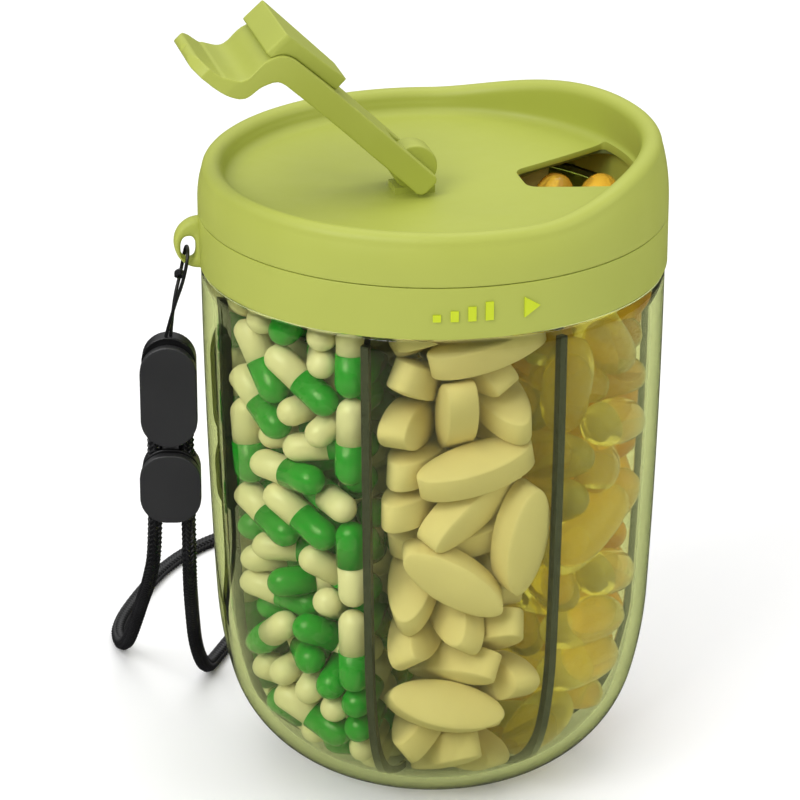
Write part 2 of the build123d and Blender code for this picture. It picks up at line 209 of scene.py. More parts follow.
def bend(start, pull, end, steps):
    """The points after start on a curve that leaves it towards pull and comes from pull to end."""
    made = []
    for step in range(1, steps + 1):
        t = step / steps
        made.append(tuple(a * (1 - t) ** 2 + b * 2 * t * (1 - t) + c * t * t
                          for a, b, c in zip(start, pull, end)))
    return made


def rounded(corners, radius, steps=4):
    """A polyline with its corners rounded, all but its two ends."""
    made = [corners[0]]
    for before, at, after in zip(corners, corners[1:], corners[2:]):
        a, b, c = Vector(before), Vector(at), Vector(after)
        reach = min(radius, 0.45 * (a - b).length, 0.45 * (c - b).length)
        start = b + (a - b).normalized() * reach
        end = b + (c - b).normalized() * reach
        for step in range(steps + 1):
            t = step / steps
            made.append(tuple(start * (1 - t) ** 2 + b * 2 * t * (1 - t) + end * t * t))
    made.append(corners[-1])
    return made


def soft_copy(name, node, voxel, passes):
    """A copy of a CAD node with its edges softened; voxel is in mm."""
    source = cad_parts[node]
    obj = add_object(name, source.data.copy())
    obj.data.transform(source.matrix_world)
    obj.data.materials.clear()
    remesh = obj.modifiers.new("remesh", "REMESH")
    remesh.mode = "VOXEL"
    remesh.voxel_size = voxel * MM
    smooth = obj.modifiers.new("smooth", "SMOOTH")
    smooth.factor = 0.5
    smooth.iterations = passes
    applied(obj)
    obj.data.shade_smooth()
    return obj


def finish_piece(obj, body, slot, material, *nodes):
    """Material, body and the CAD nodes that the piece stands for."""
    if material is not None:
        obj.data.materials.clear()
        obj.data.materials.append(material)
    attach(obj, body)
    if nodes:
        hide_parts(*nodes)


# ----------------------------------------------------------------- materials
def linear(red, green, blue):
    """sRGB 0 to 255 as a linear colour."""
    def one(value):
        value /= 255.0
        return value / 12.92 if value <= 0.04045 else ((value + 0.055) / 1.055) ** 2.4
    return (one(red), one(green), one(blue), 1.0)


def new_material(name, colour, roughness, **sockets):
    """A material; further sockets of its shader are named with underscores for spaces."""
    material = bpy.data.materials.new(name)
    material.use_nodes = True
    shader = material.node_tree.nodes["Principled BSDF"]
    shader.inputs["Base Color"].default_value = colour
    shader.inputs["Roughness"].default_value = roughness
    for socket, value in sockets.items():
        shader.inputs[socket.replace("_", " ")].default_value = value
    return material


def noise(material, scale, detail=3.0):
    """A noise texture in the object's own coordinates."""
    nodes, links = material.node_tree.nodes, material.node_tree.links
    place = nodes.new("ShaderNodeTexCoord")
    texture = nodes.new("ShaderNodeTexNoise")
    texture.inputs["Scale"].default_value = scale
    texture.inputs["Detail"].default_value = detail
    links.new(place.outputs["Object"], texture.inputs["Vector"])
    return texture.outputs["Fac"]


NOISE_SPAN = (0.3, 0.7)            # a noise texture stays mostly within these


def mapped(material, fac, low, high):
    """A noise texture's value, spread from low to high."""
    nodes, links = material.node_tree.nodes, material.node_tree.links
    node = nodes.new("ShaderNodeMapRange")
    for socket, value in zip(("From Min", "From Max", "To Min", "To Max"), (*NOISE_SPAN, low, high)):
        node.inputs[socket].default_value = value
    links.new(fac, node.inputs["Value"])
    return node.outputs["Result"]


def vary_colour(material, fac, first, second):
    """Two colours blended by a texture, for the base colour."""
    nodes, links = material.node_tree.nodes, material.node_tree.links
    mix = nodes.new("ShaderNodeMix")
    mix.data_type = "RGBA"
    mix.inputs["A"].default_value = first
    mix.inputs["B"].default_value = second
    links.new(mapped(material, fac, 0.0, 1.0), mix.inputs["Factor"])
    links.new(mix.outputs["Result"], nodes["Principled BSDF"].inputs["Base Color"])


def vary_roughness(material, fac, low, high):
    nodes, links = material.node_tree.nodes, material.node_tree.links
    links.new(mapped(material, fac, low, high), nodes["Principled BSDF"].inputs["Roughness"])


def add_bump(material, fac, strength, distance):
    """Bumps from a texture; distance is in mm."""
    nodes, links = material.node_tree.nodes, material.node_tree.links
    bump = nodes.new("ShaderNodeBump")
    bump.inputs["Strength"].default_value = strength
    bump.inputs["Distance"].default_value = distance * MM
    links.new(fac, bump.inputs["Height"])
    links.new(bump.outputs["Normal"], nodes["Principled BSDF"].inputs["Normal"])


def moulded(name, colour, second, roughness, grain=3200.0, grain_depth=0.02):
    """Moulded plastic: a fine spark-eroded grain and a slow change of tone."""
    material = new_material(name, colour, roughness)
    vary_colour(material, noise(material, 45.0, 2.0), colour, second)
    vary_roughness(material, noise(material, 160.0, 3.0), roughness - 0.05, roughness + 0.06)
    add_bump(material, noise(material, grain, 2.0), 0.35, grain_depth)
    return material


def clear_plastic(name, colour, roughness, ior, specular, tint=None, density=0.0):
    """Clear plastic; a tint with a density darkens it where the light's way through is long."""
    material = new_material(name, colour, roughness, Transmission_Weight=1.0, IOR=ior,
                            Specular_IOR_Level=specular)
    vary_roughness(material, noise(material, 120.0, 2.0), roughness * 0.6, roughness * 1.6)
    if tint is not None:
        nodes, links = material.node_tree.nodes, material.node_tree.links
        absorb = nodes.new("ShaderNodeVolumeAbsorption")
        absorb.inputs["Color"].default_value = tint
        absorb.inputs["Density"].default_value = density
        links.new(absorb.outputs["Volume"], nodes["Material Output"].inputs["Volume"])
    return material


def gel(name, colour, transmission, ior):
    """A softgel's shell with oil in it: translucent, glossy, a little uneven."""
    material = new_material(name, colour, 0.06, Transmission_Weight=transmission, IOR=ior)
    vary_roughness(material, noise(material, 160.0), 0.03, 0.1)
    return material


GREEN = moulded("pear_green_plastic", linear(172, 180, 76), linear(168, 176, 73), 0.5)
GREEN_SOFT = moulded("pear_green_soft", linear(170, 179, 76), linear(166, 174, 72), 0.58)
MARKING = moulded("marking_green", linear(196, 212, 20), linear(190, 206, 14), 0.42)
CUP_CLEAR = clear_plastic("cup_clear_plastic", linear(255, 255, 255), 0.004, 1.42, 0.3,
                          tint=(0.725, 0.775, 0.3, 1.0), density=280.0)
VANE_CLEAR = clear_plastic("vane_clear_plastic", linear(246, 248, 232), 0.004, 1.12, 0.2)
# painted shade: the clear vanes' edge strips are coloured near black, for the dark lines that light bending
# through their clear edges shows
VANE_EDGE_PAINTED_SHADE = moulded("vane_edge_painted_shade", linear(22, 28, 20), linear(18, 23, 16), 0.4)
SILICONE = moulded("seal_silicone", linear(104, 112, 58), linear(96, 104, 52), 0.55)
BLACK = moulded("black_plastic", linear(14, 14, 15), linear(10, 10, 11), 0.36)
CHARCOAL = moulded("charcoal_plastic", linear(48, 48, 49), linear(43, 43, 44), 0.4, 2600.0, 0.03)
BRAID = moulded("black_braid", linear(18, 18, 19), linear(34, 34, 36), 0.36, 5200.0, 0.04)
STEEL = new_material("steel", (0.56, 0.56, 0.57, 1.0), 0.28, Metallic=1.0)
add_bump(STEEL, noise(STEEL, 2500.0, 2.0), 0.2, 0.01)
TABLET = moulded("tablet_beige", linear(226, 210, 158), linear(220, 202, 148), 0.75, 4200.0, 0.03)
CAPSULE_CREAM = moulded("capsule_cream", linear(228, 222, 190), linear(222, 215, 180), 0.32, 2600.0, 0.01)
CAPSULE_GREEN = moulded("capsule_green", linear(6, 150, 34), linear(5, 140, 30), 0.25, 2600.0, 0.01)
SOFTGEL = gel("softgel_yellow", linear(250, 232, 124), 0.82, 1.33)
SOFTGEL_AMBER = gel("softgel_amber", linear(254, 204, 76), 0.62, 1.36)


# -------------------------------------------------------------------- camera
CAMERA_DISTANCE = 0.8              # metres
CAMERA_ELEVATION = math.radians(22.52)
CAMERA_AZIMUTH = math.radians(-14.0)
CAMERA_AIM = (-6.3, 73.9)          # sideways from the cup's axis, height
CAMERA_LENS = 184.6


def make_camera():
    aside = Vector((math.cos(CAMERA_AZIMUTH), math.sin(CAMERA_AZIMUTH), 0))
    back = Vector((math.sin(CAMERA_AZIMUTH) * math.cos(CAMERA_ELEVATION),
                   -math.cos(CAMERA_AZIMUTH) * math.cos(CAMERA_ELEVATION),
                   math.sin(CAMERA_ELEVATION)))
    axis_point = point(0, 0, CAMERA_AIM[1])
    camera = add_object("camera", bpy.data.cameras.new("camera"))
    camera.data.lens = CAMERA_LENS
    camera.data.clip_start = 0.01
    camera.data.clip_end = 20
    camera.location = axis_point + back * CAMERA_DISTANCE
    aim = axis_point + aside * CAMERA_AIM[0] * MM
    camera.rotation_mode = "QUATERNION"
    camera.rotation_quaternion = (aim - camera.location).to_track_quat("-Z", "Y")
    bpy.context.scene.camera = camera


make_camera()


# --------------------------------------------------------------------- cords
def nurbs(name, points):
    """A smooth open spline with those control points."""
    curve = bpy.data.curves.new(name, "CURVE")
    curve.dimensions = "3D"
    spline = curve.splines.new("NURBS")
    spline.points.add(len(points) - 1)
    for control, place in zip(spline.points, points):
        control.co = (*place, 1.0)
    spline.order_u = 3
    spline.use_endpoint_u = True
    spline.resolution_u = 12
    return add_object(name, curve)


def line_points(obj):
    """The points along a curve that has no bevel."""
    graph = bpy.context.evaluated_depsgraph_get()
    mesh = bpy.data.meshes.new_from_object(obj.evaluated_get(graph))
    places = [v.co.copy() for v in mesh.vertices]
    bpy.data.meshes.remove(mesh)
    return places


def even_points(places, spacing):
    """The same line in even steps, and its length."""
    lengths = [0.0]
    for a, b in zip(places, places[1:]):
        lengths.append(lengths[-1] + (b - a).length)
    count = max(2, round(lengths[-1] / spacing))
    made, index = [], 0
    for step in range(count + 1):
        want = lengths[-1] * step / count
        while index < len(places) - 2 and lengths[index + 1] < want:
            index += 1
        run = lengths[index + 1] - lengths[index]
        made.append(places[index].lerp(places[index + 1], (want - lengths[index]) / run))
    return made, lengths[-1]


def frames_along(places):
    """A side direction and its normal at each point, without twist."""
    made = []
    side = None
    for index, place in enumerate(places):
        after = places[min(index + 1, len(places) - 1)]
        before = places[max(index - 1, 0)]
        along = (after - before).normalized()
        if side is None:
            side = along.orthogonal().normalized()
        side = (side - along * side.dot(along)).normalized()
        made.append((place, side, along.cross(side)))
    return made


STRANDS = 8                        # each way round the cord
STRAND_LEAD = 8.6                  # length of one turn
STRAND_R = 0.42
STRAND_STEPS = 20                  # points in one turn
STRAND_SIDES = 6
STRAND_RISE = 0.17                 # up and down, as strands pass over and under
STRAND_OUT = 0.06                  # how far a strand's middle line stands out of the cord's round
CORE_R = 0.95
CORE_SIDES = 12


def braid_mesh(name, places, radius):
    """A braided cord: a core and two crossing sets of strands that pass over and under."""
    steps, total = even_points(places, STRAND_LEAD * MM / STRAND_STEPS)
    frames = frames_along(steps)
    verts, faces = [], []

    def tube(centres, tube_r, sides):
        first = len(verts)
        for centre, side, normal in centres:
            for corner in range(sides):
                turn = 2 * math.pi * corner / sides
                verts.append(centre + (side * math.cos(turn) + normal * math.sin(turn)) * tube_r)
        for row in range(len(centres) - 1):
            for corner in range(sides):
                a = first + row * sides + corner
                b = first + row * sides + (corner + 1) % sides
                faces.append((a, b, b + sides, a + sides))
        faces.append(tuple(first + corner for corner in reversed(range(sides))))
        last = first + (len(centres) - 1) * sides
        faces.append(tuple(last + corner for corner in range(sides)))

    tube(frames, CORE_R * MM, CORE_SIDES)
    rise = STRAND_RISE * MM
    middle = (radius - STRAND_R + STRAND_OUT) * MM
    for way in (1, -1):
        for strand in range(STRANDS):
            centres = []
            for index, (place, side, normal) in enumerate(frames):
                turn = way * 2 * math.pi * (index / STRAND_STEPS + strand / STRANDS)
                over = math.cos(STRANDS * way * turn / 2 + (0 if way == 1 else math.pi))
                out = side * math.cos(turn) + normal * math.sin(turn)
                around = normal * math.cos(turn) - side * math.sin(turn)
                centres.append((place + out * (middle + rise * over), out, around))
            tube(centres, STRAND_R * MM, STRAND_SIDES)
    return mesh_object(name, verts, faces), total, steps


def wrist_cord():
    route = [hung(*p) for p in CORD_ROUTE]
    guide = nurbs("wrist_cord_line", route)
    places = line_points(guide)
    bpy.data.objects.remove(guide)
    cord, total, steps = braid_mesh("wrist_cord_braid", places, CORD_D / 2)
    finish_piece(cord, "collar", "black_braid", BRAID, "wrist_cord")


def at_eye(radius, aside, height):
    """A point near the eye: its radius in the eye's direction, its sideways offset and its height."""
    out = Vector((math.cos(EYE_AZIMUTH), math.sin(EYE_AZIMUTH), 0))
    across = Vector((-out.y, out.x, 0))
    return (out * radius + across * aside + Vector((0, 0, height))) * MM


def lanyard_string():
    ends = [hung(x, y, STRING_END_Z) for x, y in STRING_ENDS]
    route = [ends[0], *[at_eye(*p) for p in STRING_ROUTE], ends[1]]
    string = nurbs("lanyard_string_line", route)
    total = even_points(line_points(string), 0.2 * MM)[1]
    string.data.bevel_depth = STRING_D / 2 * MM
    string.data.bevel_resolution = 3
    string.data.use_fill_caps = True
    string.name = "lanyard_string_loop"
    string.data.materials.append(BRAID)
    finish_piece(string, "collar", "black_string", None, "lanyard_string")


def string_hitch():
    """The small hitch that closes the string under the eye: two turns round both strands."""
    verts, faces = [], []
    sides, rows = 8, 64
    out, across, up = HITCH_REACH

    def wound(turn, share):
        return at_eye(HITCH_CENTRE[0] + out * math.cos(turn), across * math.sin(turn),
                      HITCH_CENTRE[1] + HITCH_RISE * (share - 0.5) + up * math.sin(turn))

    for row in range(rows + 1):
        turn = 2 * math.pi * HITCH_TURNS * row / rows
        centre = wound(turn, row / rows)
        along = (wound(turn + 0.05, row / rows) - centre).normalized()
        side = along.orthogonal().normalized()
        normal = along.cross(side)
        for corner in range(sides):
            angle = 2 * math.pi * corner / sides
            verts.append(centre + (side * math.cos(angle) + normal * math.sin(angle)) * STRING_D / 2 * MM)
    for row in range(rows):
        for corner in range(sides):
            a = row * sides + corner
            b = row * sides + (corner + 1) % sides
            faces.append((a, b, b + sides, a + sides))
    finish_piece(mesh_object("string_hitch", verts, faces), "collar", "black_string", BRAID)


def pads():
    """The connector and the slider, each a black body with a charcoal face."""
    for name, node, body, slot, material in (
            ("connector_pad_back", "connector_back", "collar", "black_plastic", BLACK),
            ("connector_pad_front", "connector_front", "collar", "grey_black_plastic", CHARCOAL),
            ("slider_pad_back", "slider_back", "slider", "black_plastic", BLACK),
            ("slider_pad_front", "slider_front", "slider", "grey_black_plastic", CHARCOAL)):
        finish_piece(soft_copy(name, node, *PAD_SOFT), body, slot, material, node)


pads()
string_hitch()
wrist_cord()
lanyard_string()


# ----------------------------------------------------------------------- cup
def wall_line(inset, step):
    """The cup's wall line, moved inwards by inset, as (radius, height) from the base up, every step mm."""
    heading = math.radians(WALL_START)
    x = CUP_BASE_R - math.sin(heading) * inset
    z = math.cos(heading) * inset
    made = []
    for radius, end in WALL_ARCS:
        r = radius - inset
        cx, cz = x - r * math.sin(heading), z + r * math.cos(heading)
        last = math.radians(end)
        count = max(4, round(r * (last - heading) / step))
        for index in range(count):
            turn = heading + (last - heading) * index / count
            made.append((cx + r * math.sin(turn), cz - r * math.cos(turn)))
        x, z = cx + r * math.sin(last), cz - r * math.cos(last)
        heading = last
    made.append((x, z))
    return made


def clear_cup():
    outer = wall_line(0, 1.5)
    inner = wall_line(CUP_WALL, 1.5)
    neck_r, bore_r, top_z = NECK
    rim_r = outer[-1][0]
    over = rounded([outer[-1], (rim_r, CUP_SHOULDER_Z), (neck_r, CUP_SHOULDER_Z), (neck_r, top_z),
                    (bore_r, top_z), (bore_r, NECK_BORE_Z), inner[-1]], 0.5)
    # the base's edge is rounded into the wall, and the floor inside eases into it
    flat, joined = 6.0, 3
    base = rounded([(CUP_BASE_R - flat, 0.0), (CUP_BASE_R, 0.0), outer[joined]], 1.2)
    floor = [(inner[0][0] - flat, CUP_FLOOR + 0.05), (8.0, CUP_FLOOR), (0, CUP_FLOOR)]
    profile = [(0, 0), *base[:-1], *outer[joined:-1], *over, *inner[-2::-1], *floor]
    cup = lathe("cup_clear_shell", profile, 224, closed=False)
    finish_piece(cup, "cup", "clear_plastic", CUP_CLEAR, "clear_cup")
    cup.visible_shadow = False


clear_cup()


def dress_cad_nodes():
    """CAD nodes whose shape is right take their materials."""
    finishes = {
        "divider_hub": VANE_CLEAR, "cup_seal_ring": SILICONE, "gasket_disc": SILICONE,
        "lid_snap_ring": STEEL, "hinge_pin": STEEL, "twist_marking": MARKING,
    }
    for number in range(1, COMPARTMENTS + 1):
        finishes[f"divider_vane_{number}"] = VANE_CLEAR
        # each vane's edge strip takes the near-black painted shade
        finishes[f"vane_edge_{number}"] = VANE_EDGE_PAINTED_SHADE
    for node, material in finishes.items():
        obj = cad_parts[node]
        for slot in obj.material_slots:
            slot.link = "OBJECT"
            slot.material = material
        if material is VANE_CLEAR:
            obj.visible_shadow = False


dress_cad_nodes()


# -------------------------------------------------------------------- collar
def collar_ring():
    outer_r, bore_r, low, high = COLLAR
    corners = [(outer_r, low), (outer_r, high), (bore_r, high), (bore_r, low)]
    start = (bore_r + 0.7, low)
    loop = rounded([start, *corners, start], 0.3)
    ring = lathe("collar_ring_shell", loop[:-1], 256, closed=True)
    finish_piece(ring, "collar", "green_plastic", GREEN, "collar_ring")


def lanyard_eye():
    """The D-shaped ear on the collar: a rounded bar that goes round the hole."""
    steps, sides = 64, 20
    hole_power, bar_power = 2.5, 3.2   # above 2, a round outline gets squarer
    hole_r, hole_z = EYE_CENTRE
    half_w, half_h = EYE_HOLE
    arc_r, arc_z, arc = EYE_ARC
    dx, dz = hole_r - arc_r, hole_z - arc_z
    verts = []
    for step in range(steps):
        turn = 2 * math.pi * step / steps
        c, s = math.cos(turn), math.sin(turn)
        inner = (1 / ((abs(c) / half_w) ** hole_power + (abs(s) / half_h) ** hole_power)) ** (1 / hole_power)
        # from the hole's centre to the outer arc, or to the root inside the collar
        b = dx * c + dz * s
        outer = -b + math.sqrt(b * b - (dx * dx + dz * dz - arc * arc))
        if hole_r + outer * c < EYE_ROOT_R:
            outer = (EYE_ROOT_R - hole_r) / c
        half = (outer - inner) / 2
        middle = (outer + inner) / 2
        for side in range(sides):
            angle = 2 * math.pi * side / sides
            ca, sa = math.cos(angle), math.sin(angle)
            squarish = (abs(ca) ** bar_power + abs(sa) ** bar_power) ** (-1 / bar_power)
            along = middle + half * ca * squarish
            verts.append(at_eye(hole_r + along * c, EYE_HALF_T * sa * squarish, hole_z + along * s))
    rows = [list(range(step * sides, (step + 1) * sides)) for step in range(steps)]
    ear = mesh_object("lanyard_eye", verts, bridged(rows, sides, True))
    fix_normals(ear)
    finish_piece(ear, "collar", "green_plastic", GREEN)


collar_ring()
lanyard_eye()


# ----------------------------------------------------------------------- lid
def floor_height(radius):
    return FLOOR_Z + FLOOR_RISE * radius * radius


def rise_at(turn):
    """0 along the low rim, 1 at its highest point."""
    t = (LIP_CIRCLE[0] * math.cos(turn) - RAMP_X[0]) / (RAMP_X[1] - RAMP_X[0])
    t = min(1.0, max(0.0, t))
    return t * t * (3 - 2 * t)


def lid_profile(turn):
    """The lid's section at one azimuth: from the axis over the floor, rim and skirt and back."""
    rise = rise_at(turn)
    circle = LIP_CIRCLE[0] + (LIP_CIRCLE[1] - LIP_CIRCLE[0]) * rise
    height = LIP_Z[0] + (LIP_Z[1] - LIP_Z[0]) * rise
    inner_r, outer_r = circle - LIP_R, circle + LIP_R
    profile = [(0.0, floor_height(0))]
    rings = 16
    for step in range(1, rings + 1):
        r = FLOOR_EDGE_R * step / rings
        profile.append((r, floor_height(r)))
    # the dish's corner and wall
    corner = (WALL_R, floor_height(39.0) + 0.1)
    profile += bend((FLOOR_EDGE_R, floor_height(FLOOR_EDGE_R)), corner, (WALL_R, WALL_Z), 8)
    for step in range(1, 5):
        t = step / 4
        profile.append((WALL_R + (inner_r - WALL_R) * t, WALL_Z + (height - WALL_Z) * t))
    # the round lip, and the outside down to the belt
    for step in range(1, 16):
        angle = math.pi * (1 - step / 15)
        profile.append((circle + LIP_R * math.cos(angle), height + LIP_R * math.sin(angle)))
    belt_top, belt_low = BELT
    pull = (LID_R, height - 0.45 * (height - belt_top))
    profile += bend((outer_r, height), pull, (LID_R, belt_top), 8)
    # the skirt inside the collar, and the floor's underside
    skirt_r, bore_r, skirt_z = SKIRT
    under_z = floor_height(bore_r) - FLOOR_T
    profile += rounded([(LID_R, belt_low), (LID_R, LID_LOW_Z), (skirt_r, LID_LOW_Z), (skirt_r, skirt_z),
                        (bore_r, skirt_z), (bore_r, under_z)], 0.28, 3)
    for step in range(9, -1, -1):
        r = bore_r * step / 10
        profile.append((r, floor_height(r) - FLOOR_T))
    return profile


def fan_outline():
    """The opening's outline, counter-clockwise, in mm."""
    tan_a = math.tan(FAN_HALF_ANGLE)
    # where the straight side meets the outer arc
    a = 1 + tan_a ** 2
    b = -2 * FAN_APEX_X * tan_a ** 2
    c = FAN_APEX_X ** 2 * tan_a ** 2 - FAN_OUTER_R ** 2
    x = (-b + math.sqrt(b * b - 4 * a * c)) / (2 * a)
    half = math.atan2((x - FAN_APEX_X) * tan_a, x)
    turns = [half * step / 12 for step in range(-12, 13)]
    arc = [(FAN_OUTER_R * math.cos(turn), FAN_OUTER_R * math.sin(turn)) for turn in turns]
    side = (FAN_INNER_X - FAN_APEX_X) * tan_a
    # the corners of one half are rounded, and mirrored for the other
    head = rounded([(FAN_INNER_X, 0), (FAN_INNER_X, -side), arc[0], arc[2]], FAN_CORNER_R, 6)
    tail = [(px, -py) for px, py in reversed(head)]
    return head[:-1] + arc[2:-2] + tail[1:-1]


def prism(name, outline, low, high):
    """A closed upright prism from an outline in mm."""
    count = len(outline)
    verts = [point(x, y, low) for x, y in outline] + [point(x, y, high) for x, y in outline]
    faces = [tuple(range(count)), tuple(range(2 * count - 1, count - 1, -1))]
    faces += [(i, (i + 1) % count, count + (i + 1) % count, count + i) for i in range(count)]
    obj = mesh_object(name, verts, faces, smooth=False)
    fix_normals(obj)
    return obj


def rotating_lid():
    segments = 288
    sections = [lid_profile(2 * math.pi * step / segments) for step in range(segments)]
    verts, rings = [], []
    for index in range(len(sections[0])):
        if sections[0][index][0] < ON_AXIS:
            rings.append([len(verts)])
            verts.append(point(0, 0, sections[0][index][1]))
            continue
        rings.append(list(range(len(verts), len(verts) + segments)))
        for step, section in enumerate(sections):
            turn = 2 * math.pi * step / segments
            radius, height = section[index]
            verts.append(point(radius * math.cos(turn), radius * math.sin(turn), height))
    lid = mesh_object("rotating_lid_shell", verts, bridged(rings, segments, False))
    fix_normals(lid)
    cutter = prism("opening_cutter", fan_outline(), *FAN_CUT_Z)
    cut = lid.modifiers.new("opening", "BOOLEAN")
    cut.operation = "DIFFERENCE"
    cut.object = cutter
    cut.solver = "EXACT"
    edge = lid.modifiers.new("edge", "BEVEL")
    edge.limit_method = "ANGLE"
    edge.angle_limit = math.radians(50)
    edge.width = 0.16 * MM
    edge.segments = 2
    applied(lid)
    bpy.data.objects.remove(cutter)
    lid.data.shade_smooth()
    lid.data.set_sharp_from_angle(angle=math.radians(40))
    finish_piece(lid, "lid", "green_plastic", GREEN, "rotating_lid")


def hinge_boss():
    """The round boss that stands on the lid's floor between the lever's prongs."""
    radius, thickness = BOSS
    half = thickness / 2
    loop = rounded([(0, -half), (radius, -half), (radius, half), (0, half)], 0.5)
    place = Matrix.Translation(point(HINGE[0], 0, HINGE[1])) @ Matrix.Rotation(math.radians(90), 4, "X")
    boss = lathe("lid_hinge_boss", loop, 96, closed=False, place=place)
    finish_piece(boss, "lid", "green_plastic", GREEN)
    reach, under, over = BOSS_FOOT
    outline = [(HINGE[0] + reach * sx, half * sy) for sx, sy in ((-1, -1), (1, -1), (1, 1), (-1, 1))]
    foot = prism("lid_hinge_foot", outline, FLOOR_Z - under, FLOOR_Z + over)
    finish_piece(foot, "lid", "green_plastic", GREEN)


rotating_lid()
hinge_boss()


# --------------------------------------------------------------------- lever
def lever():
    arm = soft_copy("lever_arm_body", "lever_arm", *LEVER_SOFT)
    finish_piece(arm, "lever", "green_plastic", GREEN, "lever_arm")
    stopper = soft_copy("lever_stopper_body", "lever_stopper", *STOPPER_SOFT)
    finish_piece(stopper, "lever", "green_soft", GREEN_SOFT, "lever_stopper")


lever()


# ------------------------------------------------------------------ contents
SIM_UNIT = 0.1                     # simulation units in one mm
SIM_GRAVITY = -98.0                # a tenth of the real one at this scale, for a calm pour
POUR_SEED = 11
POUR_FRAMES = 130
POUR_X = 28.0                      # the pills fall about here
POUR_LOW_Z = 14.0                  # the lowest pill starts over this
POUR_TOP_Z = 115.6                 # no pill reaches higher
CHUTE_TOP_Z = 2200.0
CHUTE_GAP = 130.0                  # between the compartments that are filled side by side
CHUTE_PLAY = 0.15                  # between the cup's wall and the chute's
CHUTE_T = 10                       # how thick the chute's wall is
VANE_PLAY = 0.8                    # from a vane's middle plane to a pill
HALF_STEP = math.radians(COMPARTMENT_STEP / 2)

# each kind's number that is poured, its length and its width
TABLETS = (52, 22.4, 9.0)
SOFTGELS = (46, 22.8, 9.1)
CAPSULES = (122, 17.5, 5.8)

# the softgels under the opening: x, y, z, heading and tilt
TOP_GELS = [(24.3, 7.8, 104.4, 30.0, -67.5), (32.8, 1.4, 109.0, 66.0, -16.6)]
GEL_REACH = 7.0                    # from a softgel's middle to the centre of its round end
GEL_ROOM = 8.6                     # softgels nearer than this to one of those are left out


def pill_rings(outline, profile):
    """Rings of points (x, y, z) in mm: the outline scaled and raised by each (scale, height)."""
    return [[(x * scale, y * scale, height) for x, y in outline] for scale, height in profile]


def oval(half_length, half_width, power, count):
    """An oval outline; power is 2 for an ellipse and less for sharper ends."""
    made = []
    for step in range(count):
        turn = 2 * math.pi * step / count
        c, s = math.cos(turn), math.sin(turn)
        made.append((math.copysign(half_length * abs(c) ** (2 / power), c),
                     math.copysign(half_width * abs(s) ** (2 / power), s)))
    return made


def ring_faces(rings):
    """Faces and closing caps of a stack of rings."""
    count = len(rings[0])
    rows = [list(range(i * count, (i + 1) * count)) for i in range(len(rings))]
    return [tuple(reversed(rows[0])), *bridged(rows, count, False), tuple(rows[-1])]


def tablet(count):
    """A long oval tablet: low domed faces and an upright band."""
    band, dome = 2.7, 0.9
    top = [(1.0, band - 0.25), (0.985, band - 0.05), (0.95, band + 0.12), (0.8, band + 0.45 * dome),
           (0.55, band + 0.75 * dome), (0.2, band + dome)]
    profile = [(scale, -height) for scale, height in reversed(top)] + top
    return [pill_rings(oval(11.2, 4.5, 1.9, count), profile)]


def stations(points, count):
    """A pill turned about X, from (x, radius) stations."""
    turns = [2 * math.pi * step / count for step in range(count)]
    return [[(x, r * math.cos(t), r * math.sin(t)) for t in turns] for x, r in points]


def softgel(count):
    """An oblong soft capsule."""
    half, radius = 11.4, 4.55
    points = []
    for step in range(15):
        angle = math.pi * (0.03 + 0.94 * step / 14)
        x = -half * math.copysign(abs(math.cos(angle)) ** 0.82, math.cos(angle))
        points.append((x, radius * math.sin(angle) ** 0.72))
    return [stations(points, count)]


def capsule(count):
    """A two-part hard capsule: the body, and the slightly wider cap over it."""
    halves = []
    for way, radius, mouth in ((1, 2.75, 1.0), (-1, 2.9, 0.0)):
        dome = [(math.sin(a), math.cos(a)) for a in (math.radians(d) for d in (0, 18, 36, 54, 70, 84))]
        points = [(mouth * -way, radius * 0.8), (mouth * -way, radius)]
        points += [(way * (8.75 - radius + radius * s), radius * c) for s, c in dome]
        halves.append(stations(points, count))
    return halves


def hull_mesh(name, points):
    """The hull of points in mm, as a mesh for the simulation."""
    mesh = bpy.data.meshes.new(name)
    bm = bmesh.new()
    for place in points:
        bm.verts.new(Vector(place) * SIM_UNIT)
    hull = bmesh.ops.convex_hull(bm, input=bm.verts)
    bmesh.ops.delete(bm, geom=hull["geom_interior"], context="VERTS")
    bm.to_mesh(mesh)
    bm.free()
    return mesh


def chute(shift):
    """One compartment's walls, centred on +X and moved sideways by shift, carried up as a chute."""
    made = []

    def place(corners):
        moved = [(x, y + shift, z) for x, y, z in corners]
        made.append(add_object("chute", hull_mesh("chute", moved)))

    # the two vanes, the floor and then the cup's wall in facets
    for side in (-1, 1):
        along = Vector((math.cos(HALF_STEP), side * math.sin(HALF_STEP)))
        out = Vector((-along.y, along.x)) * side
        near = [along * r - out * VANE_PLAY for r in (-12, 60)]
        far = [p + out * 12 for p in near]
        place([(*p, z) for p in near + far for z in (-5, CHUTE_TOP_Z)])
    place([(x, y, z) for x in (-5, 60) for y in (-40, 40) for z in (-8, CUP_FLOOR + 0.2)])
    bore = NECK[1] - CHUTE_PLAY
    line = wall_line(CUP_WALL + CHUTE_PLAY, 9.0) + [(bore, NECK_BORE_Z + 1), (bore, CHUTE_TOP_Z)]
    facets = 5
    half = HALF_STEP / facets
    for facet in range(facets):
        turn = -HALF_STEP + half * (2 * facet + 1)
        ahead = Vector((math.cos(turn), math.sin(turn), 0))
        aside = Vector((-ahead.y, ahead.x, 0)) * math.tan(half) * 1.15
        for (r0, z0), (r1, z1) in zip(line, line[1:]):
            slope = Vector((z1 - z0, r0 - r1)).normalized() * CHUTE_T
            quad = [(r0, z0), (r1, z1), (r1 + slope.x, z1 + slope.y), (r0 + slope.x, z0 + slope.y)]
            place([tuple(ahead * r + aside * r * s + Vector((0, 0, z))) for r, z in quad for s in (-1, 1)])
    return made


